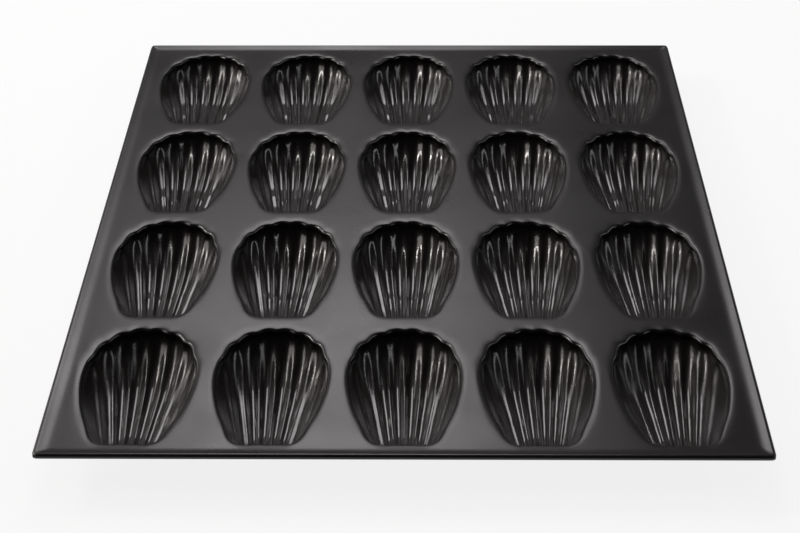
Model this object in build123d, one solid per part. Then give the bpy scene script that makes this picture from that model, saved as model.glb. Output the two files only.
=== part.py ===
from build123d import *
import math
import os

# Madeleine pan, twenty shell cups in a plate with a wired edge.
# Lengths are millimetres. X runs across the pan, Y from the front edge to the
# back, Z up. The origin lies on the table, under the middle of the plate.

# The plate
PLATE_WIDTH = 300.0
PLATE_LENGTH = 375.0
PLATE_SHEET = 0.5

# The field of cups: the flat strips between the wired edge and the outermost
# mouths, and the least flat strip that may be left between two mouths
SIDE_STRIP = 4.25
FRONT_STRIP = 1.5
BACK_STRIP = 3.5
LEAST_WEB = 6.0

# The mouth of a cup, measured between the collar faces
MOUTH_WIDTH = 47.5
MOUTH_LENGTH = 81.0
MOUTH_ROUNDING = 1.3
COLLAR_DEPTH = 3.0

# The shell
CUP_SHEET = 0.4
CUP_DEPTH = 18.0
CUP_CENTRE_FORWARD = 2.0
FLUTES = 8
FAN_FOCUS = 41.0
FLUTE_HEIGHT = 1.15
SCALLOP_HEIGHT = 1.3
LAND_IRONING = 0.1
SOCKET_FIT = 0.08

# The wired edge
WIRE_DIAMETER = 1.4
WIRE_FIT = 0.05
WIRE_BUTT_GAP = 0.6
CORNER_ROUNDING = 1.2
VALLEY_WIDTH = 5.0
VALLEY_RISE = 0.9

# One overrun serves every cut
OVERRUN = 1.0

# Shape of the mouth, right half, from the front middle round to the back
# middle, as shares of the half width and the half length
MOUTH_SHARES = [
    (0.00, -1.000),
    (0.24, -1.000),
    (0.44, -0.990),
    (0.56, -0.935),
    (0.66, -0.800),
    (0.80, -0.560),
    (0.915, -0.300),
    (0.985, -0.030),
    (1.000, 0.200),
    (0.955, 0.440),
    (0.850, 0.645),
    (0.690, 0.800),
    (0.490, 0.905),
    (0.250, 0.968),
    (0.00, 0.990),
]

# Directions in degrees, turned from the back: where the scallops begin to fade,
# where they have ended, and where the mouth's smooth sides and front are split
SCALLOP_FADE_TURN = 34.0
SCALLOP_END_TURN = 60.0
SIDE_END_TURN = 100.0
FRONT_TURN = 148.0

# Shares of the way from the shell's centre to its mouth: where the ridges change
# from soft to sharp, where the scallops grow and where the flutes fade out
RIDGE_CHANGE_SHARES = (0.92, 0.67)
SCALLOP_GROWTH_SHARES = (0.25, 0.90)
FLUTE_FADE_SHARES = (0.55, 1.0)
FAN_WIDTH_SHARE = 0.985

# How fast the wall turns into the floor at the sides, the narrow end and the
# fan end, and how sharp the ridges are at the mouth and inside (pure numbers)
SIDE_POWER = 2.6
NARROW_END_POWER = 3.6
FAN_END_POWER = 2.9
RIDGE_SOFTNESS_MOUTH = 0.8
RIDGE_SOFTNESS_INSIDE = 0.42

# Points taken on the surfaces
POINTS_PER_FLUTE = 7
SIDE_COLUMNS = 5
SHELL_ROWS = 32
ROLL_STEPS = 6
ARC_POINTS = [16, 18, 8, 10, 14]

# Derived lengths
half_mouth_width = MOUTH_WIDTH / 2
half_mouth_length = MOUTH_LENGTH / 2
seat_z = -COLLAR_DEPTH
shell_top_z = seat_z - CUP_SHEET
shell_drop = CUP_DEPTH + shell_top_z
stand_height = CUP_DEPTH + CUP_SHEET - LAND_IRONING
wire_radius = WIRE_DIAMETER / 2
curl_inner = wire_radius + WIRE_FIT
curl_outer = curl_inner + PLATE_SHEET
flute_angle = math.atan2(half_mouth_width * FAN_WIDTH_SHARE, FAN_FOCUS + half_mouth_length) / (FLUTES / 2)

# Wired edge: a shallow valley, then the sheet curls over, out and under the wire
valley_radius = (VALLEY_WIDTH ** 2 + VALLEY_RISE ** 2) / (2 * VALLEY_RISE)
valley_angle = 2 * math.atan2(VALLEY_RISE, VALLEY_WIDTH)
bead_z = VALLEY_RISE - curl_outer * math.cos(valley_angle)
valley_start = -curl_outer - curl_outer * math.sin(valley_angle) - VALLEY_WIDTH

# Room for the cups, and how many fit in it side by side
cell_width = MOUTH_WIDTH + 2 * MOUTH_ROUNDING
cell_length = MOUTH_LENGTH + 2 * MOUTH_ROUNDING
room_across = PLATE_WIDTH + 2 * (valley_start - SIDE_STRIP)
room_along = PLATE_LENGTH + 2 * valley_start - FRONT_STRIP - BACK_STRIP
columns = int((room_across + LEAST_WEB) / (cell_width + LEAST_WEB))
rows = int((room_along + LEAST_WEB) / (cell_length + LEAST_WEB))


# Mouth outline as a distance from the shell's centre, looked up by direction
def mouth_corner_points():
    right = [(sx * half_mouth_width, sy * half_mouth_length) for sx, sy in MOUTH_SHARES]
    left = [(-x, y) for x, y in reversed(right[1:-1])]
    return right + left


def periodic_second_slopes(angles, values):
    # Solves the closed natural cubic through the outline points
    count = len(angles)
    steps = [angles[(i + 1) % count] - angles[i] for i in range(count)]
    steps = [step % (2 * math.pi) for step in steps]
    slopes = [0.0] * count
    for _ in range(400):
        for i in range(count):
            before = steps[i - 1]
            after = steps[i]
            rise = (values[(i + 1) % count] - values[i]) / after
            fall = (values[i] - values[i - 1]) / before
            pull = before * slopes[i - 1] + after * slopes[(i + 1) % count]
            slopes[i] = (6 * (rise - fall) - pull) / (2 * (before + after))
    return steps, slopes


centre_y = -CUP_CENTRE_FORWARD
outline_corners = mouth_corner_points()
outline_angles = [math.atan2(y - centre_y, x) % (2 * math.pi) for x, y in outline_corners]
outline_reach = [math.hypot(x, y - centre_y) for x, y in outline_corners]
order = sorted(range(len(outline_angles)), key=lambda i: outline_angles[i])
outline_angles = [outline_angles[i] for i in order]
outline_reach = [outline_reach[i] for i in order]
outline_steps, outline_slopes = periodic_second_slopes(outline_angles, outline_reach)


def plain_reach(angle):
    angle = angle % (2 * math.pi)
    count = len(outline_angles)
    k = count - 1
    for i in range(count - 1):
        if outline_angles[i] <= angle < outline_angles[i + 1]:
            k = i
    step = outline_steps[k]
    ahead = (angle - outline_angles[k]) % (2 * math.pi)
    behind = step - ahead
    n = (k + 1) % count
    near = outline_slopes[k] * behind ** 3 / (6 * step)
    far = outline_slopes[n] * ahead ** 3 / (6 * step)
    start = (outline_reach[k] / step - outline_slopes[k] * step / 6) * behind
    end = (outline_reach[n] / step - outline_slopes[n] * step / 6) * ahead
    return near + far + start + end


def smooth_step(value):
    value = min(max(value, 0.0), 1.0)
    return value * value * (3 - 2 * value)


# Flutes fan out from a point in front of the cup; each is a round channel
# between two ridges
def fan_angle(x, y):
    return math.atan2(x, y + half_mouth_length + FAN_FOCUS)


def channel(angle, softness):
    wave = math.sin(math.pi * angle / flute_angle)
    top = math.sqrt(1 + softness * softness) - softness
    return (math.sqrt(wave * wave + softness * softness) - softness) / top


def smooth_between(value, ends):
    return smooth_step((value - ends[0]) / (ends[1] - ends[0]))


def side_fade(fan):
    # The outermost half flutes run out into the plain side walls
    return 1 - smooth_step((abs(fan) / flute_angle - FLUTES / 2 + 0.5) / 0.5)


def scallop_share(angle):
    # Full along the fan end of the mouth, nothing along its sides and front
    turned = abs(math.atan2(math.cos(angle), math.sin(angle)))
    return 1 - smooth_between(math.degrees(turned), (SCALLOP_FADE_TURN, SCALLOP_END_TURN))


def floor_power(angle):
    lengthwise = math.sin(angle)
    end = FAN_END_POWER if lengthwise > 0 else NARROW_END_POWER
    return SIDE_POWER + (end - SIDE_POWER) * lengthwise ** 2


def shell_point(x, y):
    angle = math.atan2(y - centre_y, x)
    distance = math.hypot(x, y - centre_y)
    plain = distance / plain_reach(angle)
    inward = smooth_between(plain, RIDGE_CHANGE_SHARES)
    softness = RIDGE_SOFTNESS_MOUTH + (RIDGE_SOFTNESS_INSIDE - RIDGE_SOFTNESS_MOUTH) * inward
    fan = fan_angle(x, y)
    wave = channel(fan, softness) - 1
    side = side_fade(fan)
    scallop = SCALLOP_HEIGHT * scallop_share(angle) * side * wave
    share = distance / (plain_reach(angle) + scallop * smooth_between(plain, SCALLOP_GROWTH_SHARES))
    power = floor_power(angle)
    wall = power * shell_drop
    if share < 1:
        z = shell_top_z - shell_drop * (1 - share ** power)
    else:
        head = shell_drop / 2
        z = shell_top_z + head * (1 - math.exp(-wall * (share - 1) / head))
    narrow = (y + half_mouth_length + FAN_FOCUS) / (half_mouth_length + FAN_FOCUS)
    inside = 1 - smooth_between(share, FLUTE_FADE_SHARES)
    return z - FLUTE_HEIGHT * narrow * side * inside * wave


# Points of the mouth curve, scallops included
def mouth_reach(angle):
    reach = plain_reach(angle)
    for _ in range(6):
        x = reach * math.cos(angle)
        y = centre_y + reach * math.sin(angle)
        fan = fan_angle(x, y)
        wave = channel(fan, RIDGE_SOFTNESS_MOUTH) - 1
        reach = plain_reach(angle) + SCALLOP_HEIGHT * scallop_share(angle) * side_fade(fan) * wave
    return reach


def fan_turn(flutes_out):
    # Direction from the shell's centre to the mouth where a ridge meets it
    low, high = 0.0, math.pi / 3
    for _ in range(40):
        turn = (low + high) / 2
        reach = mouth_reach(math.pi / 2 - turn)
        x = reach * math.sin(turn)
        y = centre_y + reach * math.cos(turn)
        if fan_angle(x, y) < flutes_out * flute_angle:
            low = turn
        else:
            high = turn
    return math.degrees(low)


def mouth_arcs():
    # Directions round the mouth, in arcs that end on ridges or smooth stretches
    turns = [0, fan_turn(2), SCALLOP_END_TURN, SIDE_END_TURN, FRONT_TURN, 180]
    arcs = []
    for start, end, count in zip(turns, turns[1:], ARC_POINTS):
        arcs.append([start + (end - start) * i / count for i in range(count + 1)])
    arcs += [[360 - turn for turn in reversed(arc)] for arc in reversed(arcs)]
    return arcs


MOUTH_ARCS = mouth_arcs()


def mouth_curve(offset, level):
    # Closed curve at the given distance outside the mouth
    edges = []
    for arc in MOUTH_ARCS:
        points = []
        for turn in arc:
            angle = math.pi / 2 - math.radians(turn)
            reach = mouth_reach(angle)
            slope = (mouth_reach(angle + 0.002) - mouth_reach(angle - 0.002)) / 0.004
            along_x = slope * math.cos(angle) - reach * math.sin(angle)
            along_y = slope * math.sin(angle) + reach * math.cos(angle)
            size = math.hypot(along_x, along_y)
            x = reach * math.cos(angle) + offset * along_y / size
            y = centre_y + reach * math.sin(angle) - offset * along_x / size
            points.append(Vector(x, y, level))
        spacing = [i / (len(arc) - 1) for i in range(len(arc))]
        edges.append(Edge.make_spline(points, parameters=spacing))
    return Wire(edges)


# The pressed shell as a sheet between two smooth surfaces
def shell_columns(y):
    # Positions across: along the flutes inside, then out past the mouth
    reach = y + half_mouth_length + FAN_FOCUS
    outer = flute_angle * FLUTES / 2
    count = FLUTES * POINTS_PER_FLUTE
    inner = [reach * math.tan(-outer + 2 * outer * i / count) for i in range(count + 1)]
    last = half_mouth_width + 3 * OVERRUN
    edge = inner[-1]
    far = max(last, edge + 4 * OVERRUN)
    side = [edge + (far - edge) * (i + 1) / SIDE_COLUMNS for i in range(SIDE_COLUMNS)]
    return [-x for x in reversed(side)] + inner + side


def shell_grid():
    front = -half_mouth_length - 3 * OVERRUN
    back = half_mouth_length + 3 * OVERRUN
    rows = []
    for j in range(SHELL_ROWS + 1):
        y = front + (back - front) * j / SHELL_ROWS
        rows.append([(x, y) for x in shell_columns(y)])
    return rows


def shell_normal(x, y):
    reach = CUP_SHEET / 8
    slope_x = (shell_point(x + reach, y) - shell_point(x - reach, y)) / (2 * reach)
    slope_y = (shell_point(x, y + reach) - shell_point(x, y - reach)) / (2 * reach)
    return Vector(-slope_x, -slope_y, 1).normalized()


def run_across(points):
    # Smooth runs of two flutes each, the same spacing in every section
    edges = []
    breaks = [0, SIDE_COLUMNS]
    while breaks[-1] < len(points) - 1 - SIDE_COLUMNS:
        breaks.append(breaks[-1] + 2 * POINTS_PER_FLUTE)
    breaks.append(len(points) - 1)
    for start, end in zip(breaks, breaks[1:]):
        spacing = [i / (end - start) for i in range(end - start + 1)]
        edges.append(Edge.make_spline(points[start : end + 1], parameters=spacing))
    return edges


def section_wire(row, straight_down):
    tops = []
    bottoms = []
    for x, y in row:
        top = Vector(x, y, shell_point(x, y))
        down = Vector(0, 0, 1) if straight_down else shell_normal(x, y)
        tops.append(top)
        bottoms.append(top - down * CUP_SHEET)
    right = Edge.make_line(tops[-1], bottoms[-1])
    left = Edge.make_line(bottoms[0], tops[0])
    return Wire(run_across(tops) + [right] + run_across(bottoms) + [left])


def shell_sheet():
    grid = shell_grid()
    wires = []
    for j, row in enumerate(grid):
        wires.append(section_wire(row, j in (0, len(grid) - 1)))
    return Solid.make_loft(wires)


def block(x_min, x_max, y_min, y_max, z_min, z_max):
    corner = Plane((x_min, y_min, z_min))
    return Solid.make_box(x_max - x_min, y_max - y_min, z_max - z_min, corner)


def wall_between(first, second):
    return Shell.make_loft([first, second], ruled=True).faces()


def as_solid(faces):
    return Solid(Shell(Face.sew_faces(faces)[0]))


# Shell cup: the pressed shell, ironed flat where it stands, and round its mouth
# a ledge and a widened socket that take the collar of the plate
def shell_cup():
    reach_x = half_mouth_width + 2 * OVERRUN
    reach_y = half_mouth_length + 2 * OVERRUN
    lowest = -CUP_DEPTH - CUP_SHEET + LAND_IRONING
    room = block(-reach_x, reach_x, -reach_y, reach_y, lowest, shell_top_z)
    shell = shell_sheet() & room
    rim = shell.faces().filter_by(Axis.Z).sort_by(Axis.Z)[-1]
    kept = [face for face in shell.faces() if not face.is_same(rim)]
    socket_inner = PLATE_SHEET + SOCKET_FIT
    socket_outer = socket_inner + CUP_SHEET
    socket_top = -MOUTH_ROUNDING - SOCKET_FIT
    lip = rim.inner_wires()[0]
    low_outer = mouth_curve(socket_outer, shell_top_z)
    seat_inner = lip.moved(Location((0, 0, CUP_SHEET)))
    seat_outer = mouth_curve(socket_inner, seat_z)
    top_inner = mouth_curve(socket_inner, socket_top)
    top_outer = mouth_curve(socket_outer, socket_top)
    kept.append(Face(low_outer, [rim.outer_wire()]))
    kept.append(Face(seat_outer, [seat_inner]))
    kept.append(Face(top_outer, [top_inner]))
    kept += [Face.extrude(edge, Vector(0, 0, CUP_SHEET)) for edge in lip.edges()]
    kept += wall_between(seat_outer, top_inner)
    kept += wall_between(top_outer, low_outer)
    return as_solid(kept)


# Opening of the plate: the edge rolls down into a straight collar
def opening():
    under = MOUTH_ROUNDING - PLATE_SHEET
    upper = []
    lower = []
    for i in range(ROLL_STEPS + 1):
        turn = math.pi / 2 * i / ROLL_STEPS
        out = math.sin(turn)
        down = 1 - math.cos(turn)
        upper.append(mouth_curve(MOUTH_ROUNDING * (1 - out), -MOUTH_ROUNDING * down))
        lower.append(mouth_curve(MOUTH_ROUNDING - under * out, -PLATE_SHEET - under * down))
    inner_end = mouth_curve(0, seat_z)
    outer_end = mouth_curve(PLATE_SHEET, seat_z)
    faces = Shell.make_loft(upper).faces() + Shell.make_loft(lower).faces()
    faces += wall_between(upper[-1], inner_end) + wall_between(lower[-1], outer_end)
    faces.append(Face(outer_end, [inner_end]))
    return upper[0], lower[0], faces


def on_bead(radius, turn):
    # Point on the bead, turned from straight up towards the outside
    return -curl_outer + radius * math.sin(turn), bead_z + radius * math.cos(turn)


def in_valley(radius, turn):
    return valley_start + radius * math.sin(turn), valley_radius - radius * math.cos(turn)


def edge_section(half_width):
    # Section of the wired edge, its outermost point at the half width
    def at(point):
        return Vector(half_width + point[0], 0, point[1])

    thick = valley_radius + PLATE_SHEET
    curl_end = math.radians(270)
    middle = (curl_end - valley_angle) / 2
    start_top = at((valley_start, 0))
    start_low = at((valley_start, -PLATE_SHEET))
    rise_top = at(in_valley(valley_radius, valley_angle))
    rise_low = at(in_valley(thick, valley_angle))
    end_outer = at(on_bead(curl_outer, curl_end))
    end_inner = at(on_bead(curl_inner, curl_end))
    edges = [
        Edge.make_three_point_arc(start_top, at(in_valley(valley_radius, valley_angle / 2)), rise_top),
        Edge.make_three_point_arc(rise_top, at(on_bead(curl_outer, middle)), end_outer),
        Edge.make_line(end_outer, end_inner),
        Edge.make_three_point_arc(end_inner, at(on_bead(curl_inner, middle)), rise_low),
        Edge.make_three_point_arc(rise_low, at(in_valley(thick, valley_angle / 2)), start_low),
        Edge.make_line(start_low, start_top),
    ]
    return Face(Wire(edges))


def mitred_side(half_width, half_length, turn):
    # One side of the edge, cut at forty-five degrees at both ends
    length = 2 * (half_length + OVERRUN)
    section = edge_section(half_width).moved(Location((0, -length / 2, 0)))
    strip = Solid.extrude(section, Vector(0, length, 0))
    depth = -valley_start + OVERRUN
    low = -stand_height
    plan = Wire.make_polygon(
        [
            (half_width - depth, -half_length + depth, low),
            (half_width + OVERRUN, -half_length - OVERRUN, low),
            (half_width + OVERRUN, half_length + OVERRUN, low),
            (half_width - depth, half_length - depth, low),
        ],
        close=True,
    )
    mitre = Solid.extrude(Face(plan), Vector(0, 0, 2 * stand_height))
    return (strip & mitre).rotate(Axis.Z, turn)


def wired_edge():
    half_width = PLATE_WIDTH / 2
    half_length = PLATE_LENGTH / 2
    sides = [mitred_side(half_width, half_length, turn) for turn in (0, 180)]
    sides += [mitred_side(half_length, half_width, turn) for turn in (90, 270)]
    edge = sides[0] + sides[2] + sides[1] + sides[3]
    plan = Face.make_rect(PLATE_WIDTH, PLATE_LENGTH)
    plan = plan.fillet_2d(CORNER_ROUNDING, plan.vertices())
    low = plan.moved(Location((0, 0, -stand_height)))
    return edge & Solid.extrude(low, Vector(0, 0, 2 * stand_height))


def cup_places():
    # Rows and columns are spread evenly over the room that the strips leave
    column_pitch = (room_across - cell_width) / max(columns - 1, 1)
    row_pitch = (room_along - cell_length) / max(rows - 1, 1)
    places = []
    for row in range(rows):
        for column in range(columns):
            x = (column - (columns - 1) / 2) * column_pitch
            y = (row - (rows - 1) / 2) * row_pitch + (FRONT_STRIP - BACK_STRIP) / 2
            places.append((row + 1, column + 1, x, y))
    return places


# Cover plate: one sheet from the openings out to the curled edge
def cover_plate():
    field_x = PLATE_WIDTH / 2 + valley_start
    field_y = PLATE_LENGTH / 2 + valley_start
    faces = []
    for face in wired_edge().faces():
        flat = face.geom_type == GeomType.PLANE
        here = face.center()
        inner = abs(here.X) < field_x + VALLEY_WIDTH / 2 and abs(here.Y) < field_y + VALLEY_WIDTH / 2
        upright = flat and abs(face.normal_at().Z) < 0.5
        if not (upright and inner):
            faces.append(face)
    corners = [(-field_x, -field_y), (field_x, -field_y), (field_x, field_y), (-field_x, field_y)]
    top_line = Wire.make_polygon([(x, y, 0) for x, y in corners], close=True)
    low_line = Wire.make_polygon([(x, y, -PLATE_SHEET) for x, y in corners], close=True)
    top_holes = []
    low_holes = []
    upper, lower, walls = opening()
    for row, column, x, y in cup_places():
        here = Location((x, y, 0))
        top_holes.append(upper.moved(here))
        low_holes.append(lower.moved(here))
        faces += [wall.moved(here) for wall in walls]
    faces.append(Face(top_line, top_holes))
    faces.append(Face(low_line, low_holes))
    return as_solid(faces)


# Rim wire: one rod bent sharply at the four corners, its ends meeting at the back
def rim_wire():
    side_x = PLATE_WIDTH / 2 - curl_outer
    side_y = PLATE_LENGTH / 2 - curl_outer
    gap = WIRE_BUTT_GAP / 2
    bends = [(side_x, side_y), (side_x, -side_y), (-side_x, -side_y), (-side_x, side_y)]
    route = [(gap, side_y)] + bends + [(-gap, side_y)]
    path = Wire.make_polygon([(x, y, bead_z) for x, y in route], close=False)
    section = Face(Wire.make_circle(wire_radius, Plane((gap, side_y, bead_z), z_dir=(1, 0, 0))))
    return Solid.sweep(section, path, transition=Transition.RIGHT)


def save(part, name):
    placed = part.moved(Location((0, 0, stand_height)))
    export_step(placed, "parts/" + name + ".step", write_pcurves=False)


os.makedirs("parts", exist_ok=True)
save(cover_plate(), "cover_plate")
save(rim_wire(), "rim_wire")
cup = shell_cup()
for row, column, x, y in cup_places():
    name = "shell_cup_row" + str(row) + "_col" + str(column)
    save(cup.moved(Location((x, y, 0))), name)
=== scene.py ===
# %% [markdown]
# # A madeleine pan
# The pan is a dark coated steel plate with twenty shell cups let into it, five
# across and four deep, and a wire rolled into its outer edge. The CAD model
# gives the places and the sizes; this lesson dresses it. Every length is in
# metres, X runs across the pan, Y from its front edge to its back, Z up, and
# the pan stands on Z = 0.

# %% Load the frame
import math

import bmesh
import bpy
import numpy as np
from mathutils import Matrix, Vector


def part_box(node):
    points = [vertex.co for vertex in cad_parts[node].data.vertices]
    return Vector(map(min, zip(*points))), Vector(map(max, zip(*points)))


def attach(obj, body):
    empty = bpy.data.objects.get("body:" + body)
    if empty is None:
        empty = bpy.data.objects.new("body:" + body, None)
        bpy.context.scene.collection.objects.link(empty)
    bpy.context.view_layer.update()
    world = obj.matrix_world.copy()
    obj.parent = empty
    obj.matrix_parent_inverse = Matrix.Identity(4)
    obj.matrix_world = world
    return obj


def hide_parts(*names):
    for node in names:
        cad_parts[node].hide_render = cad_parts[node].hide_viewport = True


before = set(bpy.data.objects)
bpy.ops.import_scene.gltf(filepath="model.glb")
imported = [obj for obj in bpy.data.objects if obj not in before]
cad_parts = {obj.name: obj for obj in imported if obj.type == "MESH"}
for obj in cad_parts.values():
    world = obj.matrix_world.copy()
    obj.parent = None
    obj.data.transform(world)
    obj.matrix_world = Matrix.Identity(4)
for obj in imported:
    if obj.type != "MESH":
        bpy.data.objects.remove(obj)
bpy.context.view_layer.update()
MM = 0.001

# %% [markdown]
# ## Camera
# The photograph looks down on the pan from the front at 33 degrees with a long
# lens. A camera could be moved by eye until the picture fits. Here the lens and
# the place were found by fitting the four corners of the plate and the twenty
# mouths, which is surer: the camera stands 0.73 m in front of the pan's middle,
# turned and rolled by less than one degree.

# %% Camera
PHOTO_WIDTH = 800
FOCAL_PIXELS = 1743.0
SENSOR = 36.0
CAMERA_PLACE = Vector((6.89, -731.47, 465.79)) * MM
CAMERA_TILT, CAMERA_YAW, CAMERA_ROLL = (math.radians(a) for a in (33.166, -0.810, -0.366))


def aim(tilt, yaw, roll):
    level = math.cos(tilt)
    ahead = Vector((math.sin(yaw) * level, math.cos(yaw) * level, -math.sin(tilt)))
    right = Vector((math.cos(yaw), -math.sin(yaw), 0))
    up = right.cross(ahead)
    rolled_right = right * math.cos(roll) + up * math.sin(roll)
    rolled_up = up * math.cos(roll) - right * math.sin(roll)
    return Matrix((rolled_right, rolled_up, -ahead)).transposed()


camera = bpy.data.objects.new("camera", bpy.data.cameras.new("camera"))
camera.data.lens = FOCAL_PIXELS / PHOTO_WIDTH * SENSOR
camera.data.sensor_width = SENSOR
turn = aim(CAMERA_TILT, CAMERA_YAW, CAMERA_ROLL).to_4x4()
camera.matrix_world = Matrix.Translation(CAMERA_PLACE) @ turn
bpy.context.scene.collection.objects.link(camera)
bpy.context.scene.camera = camera
print("lens", round(camera.data.lens, 1), "mm")

# %% [markdown]
# ## Table
# The photograph's background is plain white. A table can be lit until it is
# white, but that light would wash out the dark pan too. So the table glows by
# itself for the eye and in reflections, and is a plain pale sheet in all other
# light, which keeps the pan's soft shadow on it. Two small helpers come first:
# one adds a node and fills its inputs, one starts an empty material.

# %% Table
TABLE_SIZE = 8.0
TABLE_WHITE = (0.86, 0.86, 0.86, 1)
PURE_WHITE = (1, 1, 1, 1)
GLOW = 0.85


def shader_node(tree, kind, inputs=None, **settings):
    node = tree.nodes.new(kind)
    for name, value in settings.items():
        setattr(node, name, value)
    for name, value in (inputs or {}).items():
        if isinstance(value, bpy.types.NodeSocket):
            tree.links.new(value, node.inputs[name])
        else:
            node.inputs[name].default_value = value
    return node


def new_material(name):
    material = bpy.data.materials.new(name)
    material.use_nodes = True
    material.node_tree.nodes.clear()
    return material, material.node_tree


def link_object(name, mesh):
    thing = bpy.data.objects.new(name, mesh)
    bpy.context.scene.collection.objects.link(thing)
    return thing


def table_material():
    material, tree = new_material("white_table")
    cloth = shader_node(tree, "ShaderNodeBsdfDiffuse", {"Color": TABLE_WHITE})
    glow = shader_node(tree, "ShaderNodeEmission", {"Color": PURE_WHITE, "Strength": 1.0})
    rays = shader_node(tree, "ShaderNodeLightPath").outputs
    seen = shader_node(tree, "ShaderNodeMath", {
        0: rays["Is Camera Ray"], 1: rays["Is Glossy Ray"]}, operation="ADD")
    seen = shader_node(tree, "ShaderNodeMath", {
        0: seen.outputs[0], 1: rays["Is Transmission Ray"]}, operation="ADD")
    share = shader_node(tree, "ShaderNodeMath", {0: seen.outputs[0], 1: GLOW}, operation="MULTIPLY")
    mix = shader_node(tree, "ShaderNodeMixShader", {
        0: share.outputs[0], 1: cloth.outputs[0], 2: glow.outputs[0]})
    shader_node(tree, "ShaderNodeOutputMaterial", {"Surface": mix.outputs[0]})
    return material


table_mesh = bpy.data.meshes.new("table")
half = TABLE_SIZE / 2
table_corners = [(-half, -half, 0), (half, -half, 0), (half, half, 0), (-half, half, 0)]
table_mesh.from_pydata(table_corners, [], [(0, 1, 2, 3)])
table_mesh.materials.append(table_material())
table = link_object("table", table_mesh)
print("table", TABLE_SIZE, "m wide")

# %% [markdown]
# ## Sky
# A black glossy thing shows little but its surroundings. An even sky would turn
# the whole pan grey, so this one is nearly dark on the camera's side, which
# keeps the far walls of the cups black, and rises a little towards the back
# left. Where the table ends the camera sees a pale backdrop in its place.

# %% Sky
SKY_DIM, SKY_PALE = 0.02, 0.16
SKY_PALE_SIDE = (-0.55, 0.80, 0.10)
SKY_TURN = -0.1
SKY_TINT = (1, 0.985, 0.97, 1)


def make_sky():
    world = bpy.data.worlds.new("studio")
    world.use_nodes = True
    tree = world.node_tree
    tree.nodes.clear()
    where = shader_node(tree, "ShaderNodeTexCoord")
    side = shader_node(tree, "ShaderNodeVectorMath", {
        0: where.outputs["Generated"], 1: SKY_PALE_SIDE}, operation="DOT_PRODUCT")
    level = shader_node(tree, "ShaderNodeMapRange", {
        "Value": side.outputs["Value"], "From Min": SKY_TURN, "From Max": 1.0,
        "To Min": SKY_DIM, "To Max": SKY_PALE})
    sky = shader_node(tree, "ShaderNodeBackground", {
        "Color": SKY_TINT, "Strength": level.outputs[0]})
    backdrop = shader_node(tree, "ShaderNodeBackground", {"Color": PURE_WHITE, "Strength": GLOW})
    rays = shader_node(tree, "ShaderNodeLightPath")
    both = shader_node(tree, "ShaderNodeMixShader", {
        0: rays.outputs["Is Camera Ray"], 1: sky.outputs[0], 2: backdrop.outputs[0]})
    shader_node(tree, "ShaderNodeOutputWorld", {"Surface": both.outputs[0]})
    bpy.context.scene.world = world
    return world


print("sky", make_sky().name, "from", SKY_DIM, "to", SKY_PALE)

# %% [markdown]
# ## Lamps
# One large lamp would light the pan, but each light shape in the photograph
# asks for its own. The lamp behind the pan brightens the plate and draws the
# streaks in the near half of every cup. The broad one on the left draws soft
# streaks and a faint brown haze on the right-hand side of a cup, and the small
# bright one in front of it adds narrow lines and sparks there. The long thin
# one on the right draws the paired lines at the upper left. The fill overhead
# isn't mirrored and hardly shows on the black pan; it lights the table. The
# brightness counts per area, so a lamp keeps its look in a reflection when its
# size changes. The photograph's haze and glints are stronger, but with lamps
# that strong the plate, which mirrors them from the other side, looks like bare
# metal there.

# %% Lamps


def soft_lamp(name, leftwards, height, distance, spread, brightness, tint=(1, 1, 1), mirrored=True):
    # Angles in degrees as the pan sees the lamp: leftwards from straight behind
    turn, lift = math.radians(leftwards), math.radians(height)
    level = math.cos(lift)
    place = Vector((-math.sin(turn) * level, math.cos(turn) * level, math.sin(lift))) * distance
    lamp = bpy.data.lights.new(name, "AREA")
    lamp.shape = "RECTANGLE"
    lamp.size, lamp.size_y = (2 * distance * math.tan(math.radians(angle)) for angle in spread)
    lamp.energy = brightness * math.pi * lamp.size * lamp.size_y
    lamp.color = tint
    thing = bpy.data.objects.new(name, lamp)
    thing.location = place
    thing.rotation_euler = (-place).to_track_quat("-Z", "Y").to_euler()
    thing.visible_glossy = mirrored
    bpy.context.scene.collection.objects.link(thing)
    print(name, round(lamp.size, 2), "by", round(lamp.size_y, 2), "m")


soft_lamp("lamp_back", leftwards=7.5, height=50, distance=1.2, spread=(10.5, 14),
          brightness=4.5, tint=(1, 0.955, 0.975))
soft_lamp("lamp_left", leftwards=74, height=33, distance=1.5, spread=(30, 12),
          brightness=2.4, tint=(1, 0.93, 0.90))
soft_lamp("lamp_glint", leftwards=70, height=36, distance=1.3, spread=(3.5, 4),
          brightness=40, tint=(1, 0.95, 0.92))
soft_lamp("lamp_right", leftwards=-84, height=33, distance=1.3, spread=(28, 4.5),
          brightness=2.6)
soft_lamp("lamp_fill", leftwards=20, height=75, distance=1.6, spread=(38, 38),
          brightness=0.5, tint=(1, 0.97, 0.97), mirrored=False)
bpy.context.scene.view_settings.view_transform = "Standard"

# %% [markdown]
# ## Coatings
# The whole pan carries one near-black non-stick film. On the flat sheet it is
# satin with a faint grain, and a stored share called gloss makes it shinier
# where the sheet rolls down into a mouth. In the cups it looks wetter: sharp
# light lines over a soft brownish haze. One roughness gives either the lines or
# the haze, so the cups have a rough brown base under the shader's clear coat.
# Small wrinkles on the walls, where the metal was drawn most, break the glints
# up a little; the floor has none.

# %% Coatings
GRAIN_SCALE, GRAIN_STRENGTH, GRAIN_HEIGHT = 2600.0, 0.15, 0.02 * MM
CLOUD_SCALE, CLOUD_DIM, CLOUD_BRIGHT = 26.0, 0.85, 1.15
WRINKLE_SCALE, WRINKLE_BEND, WRINKLE_HEIGHT = 800.0, 0.3, 0.08 * MM
FILM_IOR, TOPCOAT_ROUGHNESS = 1.5, 0.07


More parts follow.
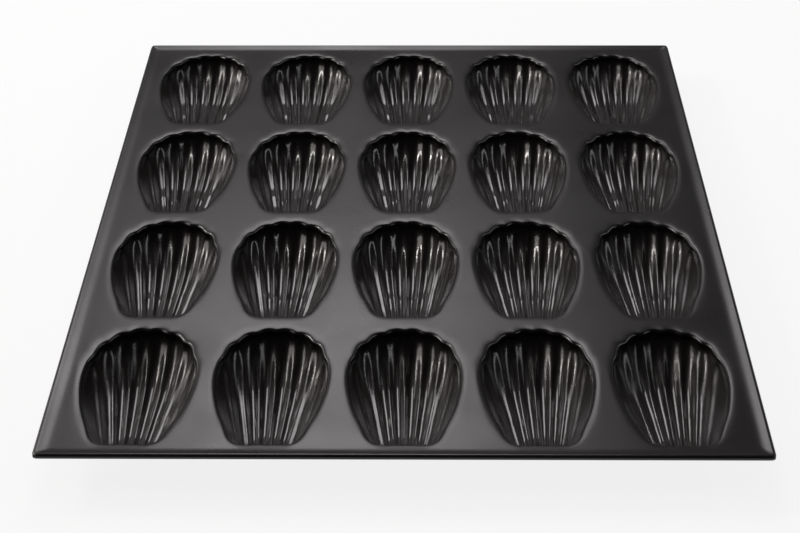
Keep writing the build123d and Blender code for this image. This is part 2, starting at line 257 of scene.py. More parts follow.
def film_roughness(tree, where, satin, glossy):
    # From satin to glossy with the stored gloss, in soft clouds
    cloud = shader_node(tree, "ShaderNodeTexNoise", {
        "Vector": where, "Scale": CLOUD_SCALE, "Detail": 3.0})
    gloss = shader_node(tree, "ShaderNodeAttribute", attribute_name="gloss")
    rough = shader_node(tree, "ShaderNodeMapRange", {
        "Value": gloss.outputs["Fac"], "To Min": satin, "To Max": glossy})
    wander = shader_node(tree, "ShaderNodeMapRange", {
        "Value": cloud.outputs["Fac"], "From Min": 0.3, "From Max": 0.7,
        "To Min": CLOUD_DIM, "To Max": CLOUD_BRIGHT})
    both = shader_node(tree, "ShaderNodeMath", {
        0: rough.outputs[0], 1: wander.outputs[0]}, operation="MULTIPLY")
    return both.outputs[0]


def film_surface(tree, where):
    # Fine grain everywhere, then the wrinkles that run along the drawn walls
    grain = shader_node(tree, "ShaderNodeTexNoise", {
        "Vector": where, "Scale": GRAIN_SCALE, "Detail": 3.0})
    fine = shader_node(tree, "ShaderNodeBump", {
        "Height": grain.outputs["Fac"], "Strength": GRAIN_STRENGTH, "Distance": GRAIN_HEIGHT})
    path = shader_node(tree, "ShaderNodeAttribute", attribute_name="wall")
    steep = shader_node(tree, "ShaderNodeAttribute", attribute_name="drawn")
    crease = shader_node(tree, "ShaderNodeTexNoise", {
        "Vector": path.outputs["Vector"], "Scale": WRINKLE_SCALE, "Detail": 2.0,
        "Distortion": WRINKLE_BEND})
    wrinkle = shader_node(tree, "ShaderNodeBump", {
        "Height": crease.outputs["Fac"], "Strength": steep.outputs["Fac"],
        "Distance": WRINKLE_HEIGHT, "Normal": fine.outputs["Normal"]})
    return wrinkle.outputs["Normal"]


def coating_material(name, satin, glossy, colour, topcoat, haze):
    material, tree = new_material(name)
    where = shader_node(tree, "ShaderNodeTexCoord").outputs["Object"]
    surface = film_surface(tree, where)
    paint = shader_node(tree, "ShaderNodeBsdfPrincipled", {
        "Base Color": colour, "Roughness": film_roughness(tree, where, satin, glossy),
        "IOR": FILM_IOR, "Normal": surface, "Specular IOR Level": haze,
        "Coat Weight": topcoat, "Coat Roughness": TOPCOAT_ROUGHNESS, "Coat Normal": surface})
    shader_node(tree, "ShaderNodeOutputMaterial", {"Surface": paint.outputs[0]})
    print(name, "has", len(tree.nodes), "nodes")
    return material


plate_coating = coating_material(
    "plate_coating", satin=0.30, glossy=0.12, colour=(0.0060, 0.0050, 0.0048, 1),
    topcoat=0.0, haze=0.5)
cup_coating = coating_material(
    "cup_coating", satin=0.42, glossy=0.42, colour=(0.0060, 0.0042, 0.0037, 1),
    topcoat=1.0, haze=0.17)

# %% [markdown]
# ## Wire finish
# The wire can't be seen in the photograph and is taken to be bare drawn steel. A
# plain grey would look like plastic, so a fine noise moves both its tone and
# its roughness, as drawing marks do.

# %% Wire finish
DRAW_SCALE, WIRE_SHINY, WIRE_DULL = 900.0, 0.22, 0.50
WIRE_DARK, WIRE_BRIGHT = (0.40, 0.39, 0.38, 1), (0.60, 0.60, 0.61, 1)


def wire_material():
    material, tree = new_material("wire_steel")
    where = shader_node(tree, "ShaderNodeTexCoord")
    draw = shader_node(tree, "ShaderNodeTexNoise", {
        "Vector": where.outputs["Object"], "Scale": DRAW_SCALE, "Detail": 4.0})
    dull = shader_node(tree, "ShaderNodeMapRange", {
        "Value": draw.outputs["Fac"], "To Min": WIRE_SHINY, "To Max": WIRE_DULL})
    # On a Mix node set to colours, input 6 is A, input 7 is B and output 2 the result
    tone = shader_node(tree, "ShaderNodeMix", {
        0: draw.outputs["Fac"], 6: WIRE_DARK, 7: WIRE_BRIGHT}, data_type="RGBA")
    steel = shader_node(tree, "ShaderNodeBsdfPrincipled", {
        "Base Color": tone.outputs[2], "Metallic": 1.0, "Roughness": dull.outputs[0]})
    shader_node(tree, "ShaderNodeOutputMaterial", {"Surface": steel.outputs[0]})
    return material


wire_steel = wire_material()
print("finishes", [m.name for m in (plate_coating, cup_coating, wire_steel)])

# %% [markdown]
# ## Outline of a mouth
# A mouth is a shell seen from above: a narrow straight front, full sides and a
# fan-shaped back. It could be drawn as a Bezier curve, but both the cup and the
# plate need its exact reach in any direction. So corners, given as shares of
# its half width and half length, carry a closed smooth curve that is looked up
# by direction from the cup's centre.

# %% Outline of a mouth
MOUTH_HALF_WIDTH, MOUTH_HALF_LENGTH = 23.75 * MM, 40.5 * MM
CENTRE_Y = -2.0 * MM
OUTLINE_SHARES = [
    (0.00, -1.000), (0.24, -1.000), (0.44, -0.990), (0.56, -0.935), (0.66, -0.800),
    (0.80, -0.560), (0.915, -0.300), (0.985, -0.030), (1.000, 0.200), (0.955, 0.440),
    (0.850, 0.645), (0.690, 0.800), (0.490, 0.905), (0.250, 0.968), (0.00, 0.990),
]


def closed_cubic(angles, values):
    # Second slopes of the closed smooth curve through the corners
    count = len(angles)
    steps = np.mod(np.roll(angles, -1) - angles, 2 * math.pi)
    rises = (np.roll(values, -1) - values) / steps
    system = np.zeros((count, count))
    for i in range(count):
        before, after = steps[i - 1], steps[i]
        system[i, i - 1] += before
        system[i, i] += 2 * (before + after)
        system[i, (i + 1) % count] += after
    return steps, np.linalg.solve(system, 6 * (rises - np.roll(rises, 1)))


left_shares = [(-x, y) for x, y in OUTLINE_SHARES[-2:0:-1]]
corners = np.array(OUTLINE_SHARES + left_shares)
corners = corners * (MOUTH_HALF_WIDTH, MOUTH_HALF_LENGTH) - (0, CENTRE_Y)
corner_angles = np.mod(np.arctan2(corners[:, 1], corners[:, 0]), 2 * math.pi)
corner_order = np.argsort(corner_angles)
corner_angles = corner_angles[corner_order]
corner_reach = np.hypot(corners[:, 0], corners[:, 1])[corner_order]
corner_steps, corner_slopes = closed_cubic(corner_angles, corner_reach)


def plain_reach(angle):
    angle = np.mod(angle, 2 * math.pi)
    k = np.mod(np.searchsorted(corner_angles, angle, side="right") - 1, len(corner_angles))
    n = np.mod(k + 1, len(corner_angles))
    step = corner_steps[k]
    ahead = np.mod(angle - corner_angles[k], 2 * math.pi)
    behind = step - ahead
    bent = (corner_slopes[k] * behind**3 + corner_slopes[n] * ahead**3) / (6 * step)
    start = (corner_reach[k] / step - corner_slopes[k] * step / 6) * behind
    return bent + start + (corner_reach[n] / step - corner_slopes[n] * step / 6) * ahead


print("outline", len(corners), "corners, shortest reach", round(corner_reach.min() / MM, 2), "mm")

# %% [markdown]
# ## Scallops
# The fan end of the mouth is scalloped: the edge bites inwards wherever two
# flutes meet. A row of arcs would kink between the scallops, so one rounded
# wave of the fan angle is taken off the plain outline. The wave depends on
# where the edge is and the edge on the wave, so a few rounds settle it.

# %% Scallops
FLUTES = 8
FAN_FOCUS = 41.0 * MM
FAN_WIDTH_SHARE = 0.985
FAN_RUN = MOUTH_HALF_LENGTH + FAN_FOCUS
HALF_FAN = math.atan2(MOUTH_HALF_WIDTH * FAN_WIDTH_SHARE, FAN_RUN)
FLUTE_ANGLE = HALF_FAN / (FLUTES / 2)
LAST_FLUTE_FADE = 0.5
SCALLOP_HEIGHT = 1.3 * MM
SCALLOP_ENDS = (34.0, 60.0)
SCALLOP_ROUNDS = 6
SOFT_MOUTH, SOFT_INSIDE = 0.50, 0.20


def smooth(value):
    value = np.clip(value, 0, 1)
    return value * value * (3 - 2 * value)


def scalloped_reach(angle):
    plain = plain_reach(angle)
    turned = np.degrees(np.abs(np.arctan2(np.cos(angle), np.sin(angle))))
    start, end = SCALLOP_ENDS
    share = 1 - smooth((turned - start) / (end - start))
    reach = plain
    for _ in range(SCALLOP_ROUNDS):
        x, y = reach * np.cos(angle), CENTRE_Y + reach * np.sin(angle)
        fan = np.arctan2(x, y + MOUTH_HALF_LENGTH + FAN_FOCUS) / FLUTE_ANGLE
        side = 1 - smooth((np.abs(fan) - FLUTES / 2 + LAST_FLUTE_FADE) / LAST_FLUTE_FADE)
        wave = np.sqrt(np.sin(math.pi * fan) ** 2 + SOFT_MOUTH**2) - SOFT_MOUTH
        wave = wave / (math.sqrt(1 + SOFT_MOUTH**2) - SOFT_MOUTH) - 1
        reach = plain + SCALLOP_HEIGHT * share * side * wave
    return reach


all_round = np.radians(np.arange(0, 360, 0.5))
bites = plain_reach(all_round) - scalloped_reach(all_round)
print("deepest scallop", round(bites.max() / MM, 2), "mm")

# %% [markdown]
# ## Rings round a mouth
# Cup and plate are both nets of rings that follow the mouth. Points could be
# spaced evenly, but the scallops need more of them than the plain sides, so
# each half of a ring has its own count at the back, the side and the front.

# %% Rings round a mouth
BACK_END, SIDE_END = 62, 138
PLATE_RING_COUNTS = (34, 20, 18)
CUP_RING_COUNTS = (56, 36, 28)
FINE_TURNS = 1801
SLOPE_STEP = 0.002


def directions(back, side, front):
    # Directions for one half, from the back middle round to the front middle
    fine = np.radians(np.linspace(0, 180, FINE_TURNS))
    reach = plain_reach(math.pi / 2 - fine)
    x, y = reach * np.sin(fine), reach * np.cos(fine)
    run = np.concatenate(([0], np.cumsum(np.hypot(np.diff(x), np.diff(y)))))
    turns = [0.0]
    parts = ((0, BACK_END, back), (BACK_END, SIDE_END, side), (SIDE_END, 180, front))
    for start, end, count in parts:
        low, high = np.interp(np.radians([start, end]), fine, run)
        turns += list(np.interp(low + (high - low) * np.arange(1, count + 1) / count, run, fine))
    right = np.array(turns)
    return np.concatenate((right, -right[-2:0:-1]))


def mouth_ring(turns, offset=0.0):
    # Points at the given distance outside the mouth, clockwise from the back
    angle = math.pi / 2 - turns
    reach = scalloped_reach(angle)
    rise = scalloped_reach(angle + SLOPE_STEP) - scalloped_reach(angle - SLOPE_STEP)
    slope = rise / (2 * SLOPE_STEP)
    along_x = slope * np.cos(angle) - reach * np.sin(angle)
    along_y = slope * np.sin(angle) + reach * np.cos(angle)
    along = np.stack((along_x, along_y), 1)
    along /= np.linalg.norm(along, axis=1)[:, None]
    x = reach * np.cos(angle) + offset * along[:, 1]
    y = CENTRE_Y + reach * np.sin(angle) - offset * along[:, 0]
    return np.stack((x, y), 1)


mouth_size = np.ptp(mouth_ring(directions(*PLATE_RING_COUNTS)), axis=0)
print("mouth", np.round(mouth_size / MM, 2), "mm")

# %% [markdown]
# ## The blank of a cup
# The real cup starts as a flat disc of sheet and is drawn by a press tool. Here
# too: a flat disc of rings is laid out first, with the share of the way to the
# mouth stored on every point, and the Geometry Nodes of the later step draw it.
# Past the mouth come the ledge and the socket that take the plate's collar;
# their points store the level that they end at.

# %% The blank of a cup
CUP_SHEET, CUP_DEPTH = 0.4 * MM, 18.0 * MM
COLLAR_DEPTH, PLATE_SHEET = 3.0 * MM, 0.5 * MM
MOUTH_ROUNDING, SOCKET_FIT = 1.3 * MM, 0.08 * MM
CUP_RINGS = 44
SHELL_TOP = -COLLAR_DEPTH - CUP_SHEET
SOCKET = PLATE_SHEET + SOCKET_FIT
SOCKET_TOP = -MOUTH_ROUNDING - SOCKET_FIT
SOCKET_PATH = [(0.0, -COLLAR_DEPTH), (SOCKET, -COLLAR_DEPTH), (SOCKET, SOCKET_TOP)]
NO_LEVEL = 1.0


def ring_faces(count, start_a, start_b):
    faces = []
    for i in range(count):
        n = (i + 1) % count
        faces.append((start_a + i, start_a + n, start_b + n, start_b + i))
    return faces


def cup_blank():
    turns = directions(*CUP_RING_COUNTS)
    count = len(turns)
    sin, cos = np.sin(turns), np.cos(turns)
    reach = plain_reach(math.pi / 2 - turns)
    points, shares, levels = [(0, CENTRE_Y, 0)], [0.0], [NO_LEVEL]
    for i in range(CUP_RINGS):
        share = (i + 1) / CUP_RINGS
        for k in range(count):
            points.append((share * reach[k] * sin[k], CENTRE_Y + share * reach[k] * cos[k], 0))
        shares += [share] * count
        levels += [NO_LEVEL] * count
    for offset, level in SOCKET_PATH:
        points += [(x, y, 0) for x, y in mouth_ring(turns, offset)]
        shares += [1.0] * count
        levels += [level] * count
    faces = [(0, 1 + (i + 1) % count, 1 + i) for i in range(count)]
    for i in range(CUP_RINGS + len(SOCKET_PATH) - 1):
        faces += ring_faces(count, 1 + i * count, 1 + (i + 1) * count)
    mesh = bpy.data.meshes.new("cup_blank")
    mesh.from_pydata([tuple(point) for point in points], [], faces)
    mesh.attributes.new("share", "FLOAT", "POINT").data.foreach_set("value", shares)
    mesh.attributes.new("level", "FLOAT", "POINT").data.foreach_set("value", levels)
    return mesh


blank = cup_blank()
print("blank", len(blank.vertices), "points", len(blank.polygons), "faces")

# %% [markdown]
# ## Sums at every point
# A Geometry Nodes tree works out a number at every point with one Math node for
# each sum, and some two hundred of them are hard to read. This small class stands
# for such a number: adding or multiplying two of them adds the node and its
# links, so the rule of the cup can be written as plain sums.

# %% Sums at every point


class Reading:
    # A number read at every point; sums on it become Math nodes
    def __init__(self, tree, socket):
        self.tree, self.socket = tree, socket

    def maths(self, operation, *values, clamp=False):
        node = self.tree.nodes.new("ShaderNodeMath")
        node.operation, node.use_clamp = operation, clamp
        for plug, value in zip(node.inputs, values):
            if isinstance(value, Reading):
                self.tree.links.new(value.socket, plug)
            else:
                plug.default_value = value
        return Reading(self.tree, node.outputs[0])

    def __add__(self, other):
        return self.maths("ADD", self, other)

    def __radd__(self, other):
        return self.maths("ADD", other, self)

    def __sub__(self, other):
        return self.maths("SUBTRACT", self, other)

    def __rsub__(self, other):
        return self.maths("SUBTRACT", other, self)

    def __mul__(self, other):
        return self.maths("MULTIPLY", self, other)

    def __rmul__(self, other):
        return self.maths("MULTIPLY", other, self)

    def __truediv__(self, other):
        return self.maths("DIVIDE", self, other)

    def __pow__(self, other):
        return self.maths("POWER", self, other)

    def sine(self):
        return self.maths("SINE", self)

    def root(self):
        return self.maths("SQRT", self)

    def size(self):
        return self.maths("ABSOLUTE", self)

    def above(self, other):
        return self.maths("GREATER_THAN", self, other)

    def below(self, other):
        return self.maths("LESS_THAN", self, other)

    def angle_from(self, other):
        return self.maths("ARCTAN2", self, other)

    def smooth(self):
        level = self.maths("ADD", self, 0.0, clamp=True)
        return level * level * (3.0 - 2.0 * level)


plain_words = [name for name in vars(Reading) if not name.startswith("_")]
print("a reading can", ", ".join(plain_words))

# %% [markdown]
# ## Flutes and scallops of a cup
# The flutes fan out from a focus in front of the cup. Ribs could be modelled one
# by one, but they would have to meet the scallops of the mouth exactly. One
# rounded wave of the fan angle does both: near the mouth it bites into the
# outline as scallops, further in it lifts narrow ribs off the floor between
# wide channels. The ribs are 0.2 mm higher than the CAD solid's and sharper, to
# catch the light as in the photograph. Each size is a named input of the tree.

# %% Flutes and scallops of a cup
PRESS_SIZES = {
    "Depth": CUP_DEPTH,
    "Shell top": SHELL_TOP,
    "Centre forward": CENTRE_Y,
    "Flutes": float(FLUTES),
    "Flute angle": FLUTE_ANGLE,
    "Fan focus": FAN_RUN,
    "Rib height": 1.35 * MM,
    "Ribs fade from": 0.70,
    "Rib softness at mouth": SOFT_MOUTH,
    "Rib softness inside": SOFT_INSIDE,
    "Scallop height": SCALLOP_HEIGHT,
    "Scallops fade from": math.radians(SCALLOP_ENDS[0]),
    "Scallops end": math.radians(SCALLOP_ENDS[1]),
    "Side power": 2.6,
    "Narrow end power": 3.6,
    "Fan end power": 2.9,
    "Wall roundness at ends": 0.72,
    "Plain side": 1.3,
    "Wrinkles start": 0.50,
}
SOFTEN_FROM, SOFTEN_SPAN = 0.92, 0.25
BITES_FROM, BITES_SPAN = 0.25, 0.65
BITE_ROUNDS = 2


def stored(tree, name):
    node = shader_node(tree, "GeometryNodeInputNamedAttribute", {"Name": name}, data_type="FLOAT")
    return Reading(tree, node.outputs["Attribute"])


def rib_softness(size, share):
    inward = ((SOFTEN_FROM - share) / SOFTEN_SPAN).smooth()
    change = size["Rib softness inside"] - size["Rib softness at mouth"]
    return size["Rib softness at mouth"] + change * inward


def flute_wave(size, softness, x, y):
    # The wave, how far past the last flute, and how wide the fan is (1 at the middle)
    run = y + size["Fan focus"]
    fan = x.angle_from(run) / size["Flute angle"]
    wave = (fan * math.pi).sine()
    top = (softness * softness + 1.0).root() - softness
    channel = ((wave * wave + softness * softness).root() - softness) / top - 1.0
    return channel, fan.size() - size["Flutes"] / 2.0, run / size["Fan focus"]


def bitten(size, share, softness, x, y):
    # Moves a point inwards where two flutes meet, most at the mouth
    out = y - size["Centre forward"]
    reach = (x * x + out * out).root()
    sin, cos = x / reach, out / reach
    past_start = x.size().angle_from(out) - size["Scallops fade from"]
    fade = past_start / (size["Scallops end"] - size["Scallops fade from"])
    scallops = 1.0 - fade.smooth()
    outward = ((share - BITES_FROM) / BITES_SPAN).smooth()
    for _ in range(BITE_ROUNDS):
        channel, past_last, narrow = flute_wave(size, softness, x, y)
        side = 1.0 - ((past_last + LAST_FLUTE_FADE) / LAST_FLUTE_FADE).smooth()
        bite = channel * side * scallops * outward * share * size["Scallop height"]
        x, y = (reach + bite) * sin, (reach + bite) * cos + size["Centre forward"]
    return x, y


def rib_lift(size, share, channel, past_last, narrow):
    wave = channel * (1.0 - ((past_last + size["Plain side"]) / size["Plain side"]).smooth())
    fade = (share - size["Ribs fade from"]) / (1.0 - size["Ribs fade from"])
    return wave * narrow * (1.0 - fade.smooth()) * size["Rib height"]


print("press tool", len(PRESS_SIZES), "sizes")

# %% [markdown]
# ## The press tool
# The bowl falls from the mouth to the floor by a power of the share stored on
# the blank, steeper at the narrow end than at the sides, and the ribs rise from
# it. At both ends the wall is rounder than the CAD solid's. The tree also stores
# where each point lies along the wall, and a share called drawn that is 0 on the
# floor and 1 on the walls, for the wrinkles of the coating. It ends in Realize
# Instances and Set Material, because the export would drop instances.

# %% The press tool
WRINKLE_SPAN = 0.25
SOCKET_MARK = 0.5
CENTRE_GUARD = 0.01
WALL_LIFT = 0.25


def bowl_level(size, share, cos):
    fan_end = cos.above(0.0) * (size["Fan end power"] - size["Narrow end power"])
    ends = size["Narrow end power"] + fan_end - size["Side power"]
    power = size["Side power"] + ends * cos * cos
    turn_in = 1.0 - (1.0 - size["Wall roundness at ends"]) * cos * cos
    drop = size["Shell top"] + size["Depth"]
    return size["Shell top"] - drop * (1.0 - share**power) ** turn_in


def placed(tree, place, x, y, z):
    point = shader_node(tree, "ShaderNodeCombineXYZ", {
        "X": x.socket, "Y": y.socket, "Z": z.socket})
    moved = shader_node(tree, "ShaderNodeVectorMath", {
        0: point.outputs[0], 1: place}, operation="ADD")
    return moved.outputs[0]


def press_tree():
    tree = bpy.data.node_groups.new("press_a_shell_cup", "GeometryNodeTree")
    face = tree.interface
    face.new_socket("Blank", in_out="INPUT", socket_type="NodeSocketGeometry")
    face.new_socket("Shell", in_out="OUTPUT", socket_type="NodeSocketGeometry")
    for name, value in PRESS_SIZES.items():
        plug = face.new_socket(name, in_out="INPUT", socket_type="NodeSocketFloat")
        plug.default_value = value
    face.new_socket("Place", in_out="INPUT", socket_type="NodeSocketVector")
    face.new_socket("Coating", in_out="INPUT", socket_type="NodeSocketMaterial")
    inputs = tree.nodes.new("NodeGroupInput").outputs
    size = {name: Reading(tree, inputs[name]) for name in PRESS_SIZES}
    position = tree.nodes.new("GeometryNodeInputPosition")
    split = shader_node(tree, "ShaderNodeSeparateXYZ", {0: position.outputs[0]})
    flat_x, flat_y = Reading(tree, split.outputs["X"]), Reading(tree, split.outputs["Y"])
    share, level = stored(tree, "share"), stored(tree, "level")

    out = flat_y - size["Centre forward"]
    reach = (flat_x * flat_x + out * out).root()
    sin, cos = flat_x / reach, out / reach
    softness = rib_softness(size, share)
    x, y = bitten(size, share, softness, flat_x, flat_y)
    ribs = rib_lift(size, share, *flute_wave(size, softness, x, y))
    socket = level.below(SOCKET_MARK)
    z = (bowl_level(size, share, cos) - ribs) * (1.0 - socket) + level * socket
    x, y = x + (flat_x - x) * socket, y + (flat_y - y) * socket
    press = shader_node(tree, "GeometryNodeSetPosition", {
        "Geometry": inputs["Blank"], "Position": placed(tree, inputs["Place"], x, y, z)})

    edge_share = share + CENTRE_GUARD
    edge_x, edge_y = sin * reach / edge_share, cos * reach / edge_share
    along = placed(tree, inputs["Place"], edge_x, edge_y, reach * WALL_LIFT)
    wall = shader_node(tree, "GeometryNodeStoreNamedAttribute", {
        "Geometry": press.outputs[0], "Name": "wall", "Value": along}, data_type="FLOAT_VECTOR")
    drawn = ((share - size["Wrinkles start"]) / WRINKLE_SPAN).smooth() * (1.0 - socket)
    marked = shader_node(tree, "GeometryNodeStoreNamedAttribute", {
        "Geometry": wall.outputs[0], "Name": "drawn", "Value": drawn.socket}, data_type="FLOAT")

    shade = shader_node(tree, "GeometryNodeSetShadeSmooth", {"Geometry": marked.outputs[0]})
    real = shader_node(tree, "GeometryNodeRealizeInstances", {"Geometry": shade.outputs[0]})
    coat = shader_node(tree, "GeometryNodeSetMaterial", {
        "Geometry": real.outputs[0], "Material": inputs["Coating"]})
    shader_node(tree, "NodeGroupOutput", {0: coat.outputs[0]})
    return tree


press = press_tree()
print("press tool", len(press.nodes), "nodes")

# %% [markdown]
# ## From a modifier to a plain mesh
# The export and the frame want plain meshes. These helpers set a modifier's
# inputs by their identifiers, give a surface the thickness of its sheet, and
# turn the evaluated object into a mesh with its sharp corners marked, so that a
# right angle doesn't shade as if it were round.

# %% From a modifier to a plain mesh
SHARP_CORNER = math.radians(50)


def set_inputs(modifier, values):
    for item in modifier.node_group.interface.items_tree:
        if item.item_type == "SOCKET" and item.in_out == "INPUT" and item.name in values:
            modifier[item.identifier] = values[item.name]


def solidify(thing, thickness):
    wall = thing.modifiers.new("sheet", "SOLIDIFY")
    wall.thickness = thickness
    wall.offset = -1.0
    wall.use_even_offset = True
    wall.use_quality_normals = True


def plain_mesh(thing, name):
    bpy.context.view_layer.update()
    finished = thing.evaluated_get(bpy.context.evaluated_depsgraph_get())
    made = bpy.data.meshes.new_from_object(finished)
    thing.modifiers.clear()
    thing.data = made
    made.name = name
    made.set_sharp_from_angle(angle=SHARP_CORNER)
    return made


print("corners over", round(math.degrees(SHARP_CORNER)), "degrees stay sharp")

# %% [markdown]
# ## Twenty cups
# The twenty cups look alike, as if drawn by one tool, so each is pressed here
# from its own copy of the blank with the same tree. Instances of one cup would
# be lighter, but every cup has to be a piece of its own. Last each is ironed
# flat by a tenth of a millimetre where it touches the table, as in the CAD.

# %% Twenty cups
COLUMNS, ROWS = 5, 4
PLATE_TOP = 18.3 * MM


def cup_place(name):
    # The CAD cup's box ends in front at its socket, which follows the mouth
    low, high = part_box(name)
    front = mouth_ring(directions(*PLATE_RING_COUNTS), SOCKET + CUP_SHEET)[:, 1].min()
    return Vector(((low[0] + high[0]) / 2, low[1] - front, PLATE_TOP))


def shell_cup(name, place):
    cup = link_object(name, blank.copy())
    tool = cup.modifiers.new("press", "NODES")
    tool.node_group = press
    set_inputs(tool, {"Place": place, "Coating": cup_coating})
    solidify(cup, CUP_SHEET)
    made = plain_mesh(cup, name)
    spots = np.zeros(len(made.vertices) * 3)
    made.vertices.foreach_get("co", spots)
    spots[2::3] = np.maximum(spots[2::3], 0.0)
    made.vertices.foreach_set("co", spots)
    return cup


cup_names = []
for row in range(ROWS):
    cup_names.append([f"shell_cup_row{row + 1}_col{column + 1}" for column in range(COLUMNS)])
places = [[cup_place(name) for name in row_names] for row_names in cup_names]
cups = []
for row_names, row_places in zip(cup_names, places):
    for name, place in zip(row_names, row_places):
        cups.append((name, shell_cup(name + "_pressed", place)))
print("cups", len(cups), "each", len(cups[0][1].data.polygons), "faces")

# %% [markdown]
# ## Fields of the plate
# One sheet makes everything from the rolled-down mouths to the wired edge. It
# could be cut from a plane with Booleans, but that leaves thin triangles which
# show in a gloss. Instead each cup has a field: a net of rings from its collar,
# over the rounded mouth, out to a rectangle. Neighbouring rectangles share
# their points, so the fields join into one sheet.

# %% Fields of the plate
PLATE_HALF_WIDTH, PLATE_HALF_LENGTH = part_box("cover_plate")[1][:2]
WIRE_RADIUS, WIRE_FIT = 0.7 * MM, 0.05 * MM
VALLEY_WIDTH, VALLEY_RISE = 5.0 * MM, 0.9 * MM
CURL = WIRE_RADIUS + WIRE_FIT + PLATE_SHEET
VALLEY_RADIUS = (VALLEY_WIDTH**2 + VALLEY_RISE**2) / (2 * VALLEY_RISE)
VALLEY_ANGLE = 2 * math.atan2(VALLEY_RISE, VALLEY_WIDTH)
VALLEY_START = CURL + CURL * math.sin(VALLEY_ANGLE) + VALLEY_WIDTH
FLAT_HALF_WIDTH = PLATE_HALF_WIDTH - VALLEY_START
FLAT_HALF_LENGTH = PLATE_HALF_LENGTH - VALLEY_START
SIDE_COUNTS = (18, 36, 18)


def field_rectangle(x_low, x_high, y_low, y_high):
    # Points of a field's border, clockwise from the back middle
    back, side, front = SIDE_COUNTS
    middle = (x_low + x_high) / 2
    legs = [
        ((middle, y_high), (x_high, y_high), back),
        ((x_high, y_high), (x_high, y_low), side),
        ((x_high, y_low), (middle, y_low), front),
        ((middle, y_low), (x_low, y_low), front),
        ((x_low, y_low), (x_low, y_high), side),
        ((x_low, y_high), (middle, y_high), back),
    ]
    points = []
    for start, end, count in legs:
        for i in range(count):
            t = i / count
            x = start[0] + (end[0] - start[0]) * t
            y = start[1] + (end[1] - start[1]) * t
            points.append((x, y))
    return np.array(points)


def field_edges(middles, end):
    # Neighbouring fields meet halfway between their cups
    return [-end] + [(a + b) / 2 for a, b in zip(middles, middles[1:])] + [end]


edges_x = field_edges([place.x for place in places[0]], FLAT_HALF_WIDTH)
edges_y = field_edges([row_places[0].y for row_places in places], FLAT_HALF_LENGTH)
print("fields meet at x", [round(x / MM, 2) for x in edges_x], "mm")

# %% [markdown]
# ## Rolled mouths
# At each mouth the sheet rolls down into a collar. The photograph shows soft
# shading about every cup, so the flat sheet is taken to be dragged down a
# little there, by less than half a millimetre; the CAD solid leaves that out. A
# stored share called gloss tells the coating how far down the roll a point is.

# %% Rolled mouths
ROLL_STEPS = 4
FLAT_SHARES = (0.10, 0.25, 0.45, 0.70, 1.0)
DIP_DEPTH, DIP_WIDTH = 0.45 * MM, 4.6 * MM


def dip(distance):
    # The press drags the sheet down a little all round a mouth
    share = np.clip(1 - distance / DIP_WIDTH, 0, 1)
    return -DIP_DEPTH * share * share


def mouth_profile():
    # (distance outside the mouth, level, gloss) from the collar's end to the flat
    steps = [(0.0, -COLLAR_DEPTH, 1.0), (0.0, -(COLLAR_DEPTH + MOUTH_ROUNDING) / 2, 1.0)]
    for i in range(ROLL_STEPS + 1):
        turn = math.pi / 2 * i / ROLL_STEPS
        out = MOUTH_ROUNDING * (1 - math.cos(turn))
        level = -MOUTH_ROUNDING * (1 - math.sin(turn)) + dip(out)
        steps.append((out, level, 1.0 - i / ROLL_STEPS))
    return steps


def field(middle, border, rings):
    # Points and glosses of one cup's field, ring by ring from the collar outwards
    points, glosses = [], []
    for ring, level, gloss in rings:
        points += [(x, y, level) for x, y in ring + middle]
        glosses += [gloss] * len(ring)
    inner = rings[-1][0] + middle
    away = np.linalg.norm(border - inner, axis=1)
    for share in FLAT_SHARES:
        flat = inner + (border - inner) * share
        fall = dip(MOUTH_ROUNDING + away * share)
        points += [(x, y, z) for (x, y), z in zip(flat, fall)]
        glosses += [0.0] * len(border)
    return points, glosses


def plate_top():
    turns = directions(*PLATE_RING_COUNTS)
    count = len(turns)
    rings = [(mouth_ring(turns, offset), level, gloss) for offset, level, gloss in mouth_profile()]
    points, glosses, faces = [], [], []
    for row in range(ROWS):
        for column in range(COLUMNS):
            middle = np.array(places[row][column][:2])
            border = field_rectangle(*edges_x[column:column + 2], *edges_y[row:row + 2])
            start = len(points)
            field_points, field_glosses = field(middle, border, rings)
            points += field_points
            glosses += field_glosses
            for i in range(len(rings) + len(FLAT_SHARES) - 1):
                faces += ring_faces(count, start + i * count, start + (i + 1) * count)
    mesh = bpy.data.meshes.new("plate_top")
    mesh.from_pydata([tuple(point) for point in points], [], faces)
    mesh.attributes.new("gloss", "FLOAT", "POINT").data.foreach_set("value", glosses)
    return mesh


top_mesh = plate_top()
print("plate top", len(top_mesh.polygons), "faces")

# %% [markdown]
# ## Valley and bead
# Outside the fields the sheet rises through a shallow valley and curls round
# the wire as a bead. A bevelled curve could follow the edge, but it wouldn't be
# the same sheet. So the outer edge is extruded step by step along the section,
# with small round corners, and Solidify gives the whole sheet its thickness.

# %% Valley and bead
BEAD_LEVEL = VALLEY_RISE - CURL * math.cos(VALLEY_ANGLE)
BEAD_END = math.radians(270)
VALLEY_STEPS, BEAD_STEPS = 5, 14
CORNER_ROUNDING = 1.8 * MM
CLOSE = 0.01 * MM


def edge_profile():
    # (inwards from the plate's outer line, level) over the valley and the bead
    steps = []
    for i in range(1, VALLEY_STEPS + 1):
        turn = VALLEY_ANGLE * i / VALLEY_STEPS
        inwards = VALLEY_START - VALLEY_RADIUS * math.sin(turn)
        steps.append((inwards, VALLEY_RADIUS * (1 - math.cos(turn))))
    for i in range(1, BEAD_STEPS + 1):
        turn = -VALLEY_ANGLE + (BEAD_END + VALLEY_ANGLE) * i / BEAD_STEPS
        steps.append((CURL - CURL * math.sin(turn), BEAD_LEVEL + CURL * math.cos(turn)))
    return steps


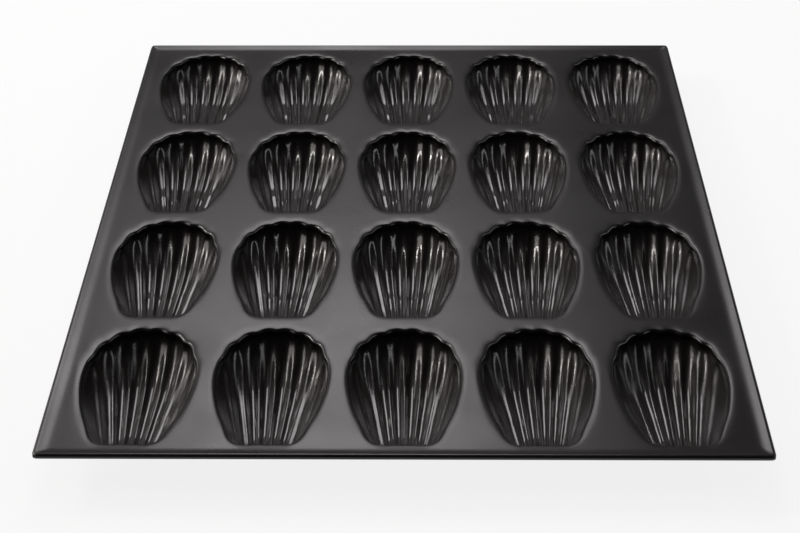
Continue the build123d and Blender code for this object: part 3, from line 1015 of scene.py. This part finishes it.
def rounded(x, y):
    # Turns the square corners of the outer rings into round ones
    u = abs(x) - (PLATE_HALF_WIDTH - CORNER_ROUNDING)
    v = abs(y) - (PLATE_HALF_LENGTH - CORNER_ROUNDING)
    if u <= 0 or v <= 0:
        return x, y
    shrink = max(u, v) / math.hypot(u, v)
    return math.copysign(abs(x) - u + u * shrink, x), math.copysign(abs(y) - v + v * shrink, y)


def outermost(edge):
    middle = (edge.verts[0].co + edge.verts[1].co) / 2
    beyond = max(abs(middle.x) - FLAT_HALF_WIDTH, abs(middle.y) - FLAT_HALF_LENGTH)
    return edge.is_boundary and beyond > -CLOSE


def extrude_border(work):
    # Every border point keeps its shares of the half width and half length
    border = [edge for edge in work.edges if outermost(edge)]
    shares = {}
    for edge in border:
        for vert in edge.verts:
            shares[vert] = (vert.co.x / FLAT_HALF_WIDTH, vert.co.y / FLAT_HALF_LENGTH)
    for inwards, level in edge_profile():
        made = bmesh.ops.extrude_edge_only(work, edges=border)["geom"]
        fresh = [item for item in made if isinstance(item, bmesh.types.BMVert)]
        border = [item for item in made if isinstance(item, bmesh.types.BMEdge)]
        reach_x, reach_y = PLATE_HALF_WIDTH - inwards, PLATE_HALF_LENGTH - inwards
        parents = {}
        for vert in fresh:
            for edge in vert.link_edges:
                other = edge.other_vert(vert)
                if other in shares:
                    parents[vert] = shares[other]
        for vert, (share_x, share_y) in parents.items():
            vert.co = (*rounded(share_x * reach_x, share_y * reach_y), level)
        shares = parents


def plate_sheet():
    work = bmesh.new()
    work.from_mesh(top_mesh)
    bmesh.ops.remove_doubles(work, verts=work.verts, dist=CLOSE)
    extrude_border(work)
    bmesh.ops.recalc_face_normals(work, faces=work.faces)
    largest = max(work.faces, key=lambda face: face.calc_area())
    if largest.normal.z < 0:
        bmesh.ops.reverse_faces(work, faces=work.faces)
    for vert in work.verts:
        vert.co.z += PLATE_TOP
    mesh = bpy.data.meshes.new("cover_plate_sheet")
    work.to_mesh(mesh)
    work.free()
    mesh.shade_smooth()
    mesh.materials.append(plate_coating)
    return mesh


plate = link_object("cover_plate_sheet", plate_sheet())
solidify(plate, PLATE_SHEET)
plain_mesh(plate, "cover_plate_sheet")
print("plate", len(plate.data.polygons), "faces")

# %% [markdown]
# ## Wire
# The steel wire lies inside the rolled edge. It could be swept again as a
# curve, but its CAD solid is already the round rod that it should be, so it
# stays and only gets its finish.

# %% Wire
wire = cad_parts["rim_wire"]
wire.data.materials.clear()
wire.data.materials.append(wire_steel)
print("wire", len(wire.data.polygons), "faces")

# %% [markdown]
# ## Hand over
# The cups and the plate ride on the pan's one body, and the CAD nodes that they
# replace are hidden.

# %% Hand over
for name, cup in cups:
    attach(cup, "root")
    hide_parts(name)
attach(plate, "root")
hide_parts("cover_plate")
